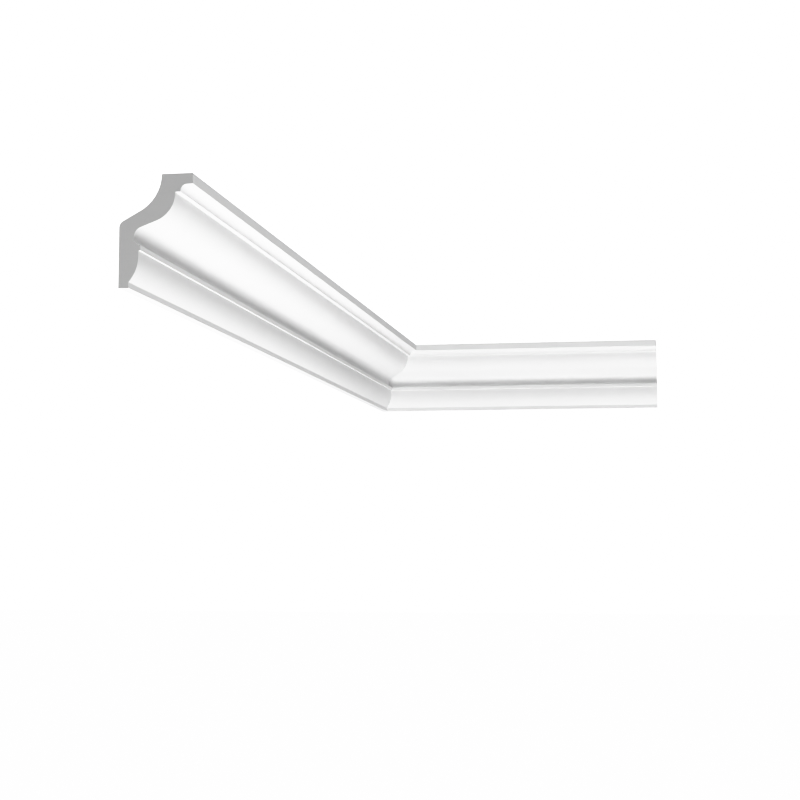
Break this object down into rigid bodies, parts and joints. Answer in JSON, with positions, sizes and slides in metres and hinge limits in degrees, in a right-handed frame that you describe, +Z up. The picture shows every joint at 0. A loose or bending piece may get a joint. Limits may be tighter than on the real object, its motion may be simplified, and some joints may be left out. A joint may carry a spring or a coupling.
{
  "type": "cornice moulding",
  "caption": "Cornice moulding with a cove, ogee and ovolo profile, mitred round the inside corner of a room, square at its free ends, with an open channel behind it.",
  "frame": {"origin": "the middle of the long length's wall face, which is glued to the wall. The room's corner is at Y = +0.5 m, the ceiling at Z = +0.058 m and the underside at Z = -0.021 m.", "axes": "+X out of the wall that the long length is on, +Y along that wall into the room's corner, +Z up"},
  "size_m": [0.348, 1, 0.079],
  "materials": {
    "primed_polymer": "rigid polymer foam with a smooth matt white factory primer; bare grey foam on the sawn ends"
  },
  "bodies": {
    "root": {"long_length": "primed_polymer", "short_length": "primed_polymer"}
  },
  "joints": []
}
